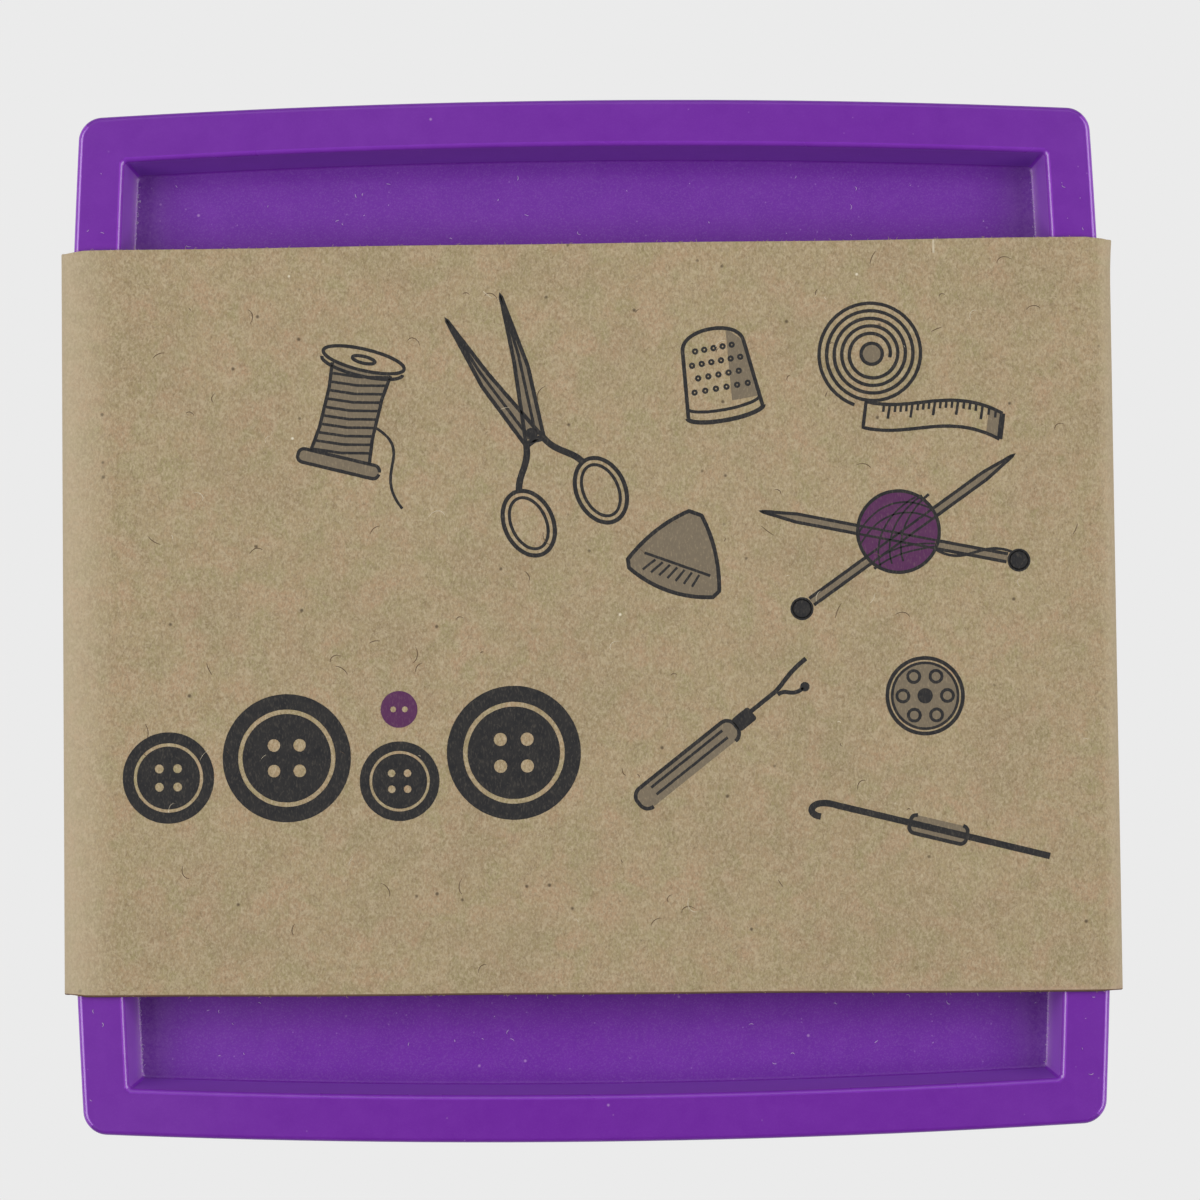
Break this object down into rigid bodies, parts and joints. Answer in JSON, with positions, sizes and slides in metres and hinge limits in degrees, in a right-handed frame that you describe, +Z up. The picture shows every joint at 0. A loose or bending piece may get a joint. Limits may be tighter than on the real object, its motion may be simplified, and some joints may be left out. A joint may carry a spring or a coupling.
{
  "type": "magnetic pin dish",
  "caption": "Square magnetic pin dish with bowed sides, a rimmed recess over a hidden ring magnet, and rubber feet, inside a slide-off kraft card band.",
  "frame": {"origin": "centre of the underside of the card band's lower panel, on the table under the middle of the dish", "axes": "+Z up out of the recess, +X to the right across the band's print, +Y away from the reader along the band's travel"},
  "size_m": [0.1094, 0.1084, 0.0266],
  "materials": {
    "purple_plastic": "satin",
    "ferrite": "matt",
    "plated_steel": "zinc plated",
    "foot_rubber": "matt",
    "kraft_card": "uncoated",
    "glue": "dried adhesive"
  },
  "bodies": {
    "dish": {"tray": "purple_plastic", "base_cover": "purple_plastic", "magnet": "ferrite", "back_plate": "plated_steel", "screw_front_left": "plated_steel", "screw_front_right": "plated_steel", "screw_back_left": "plated_steel", "screw_back_right": "plated_steel", "foot_front_left": "foot_rubber", "foot_front_right": "foot_rubber", "foot_back_left": "foot_rubber", "foot_back_right": "foot_rubber"},
    "sleeve": {"band": "kraft_card", "glue_line": "glue"}
  },
  "joints": [
    {"name": "band_slide", "type": "slide", "parent": "dish", "child": "sleeve", "axis": [0, 1, 0], "range_m": [-0.095, 0.095]}
  ]
}
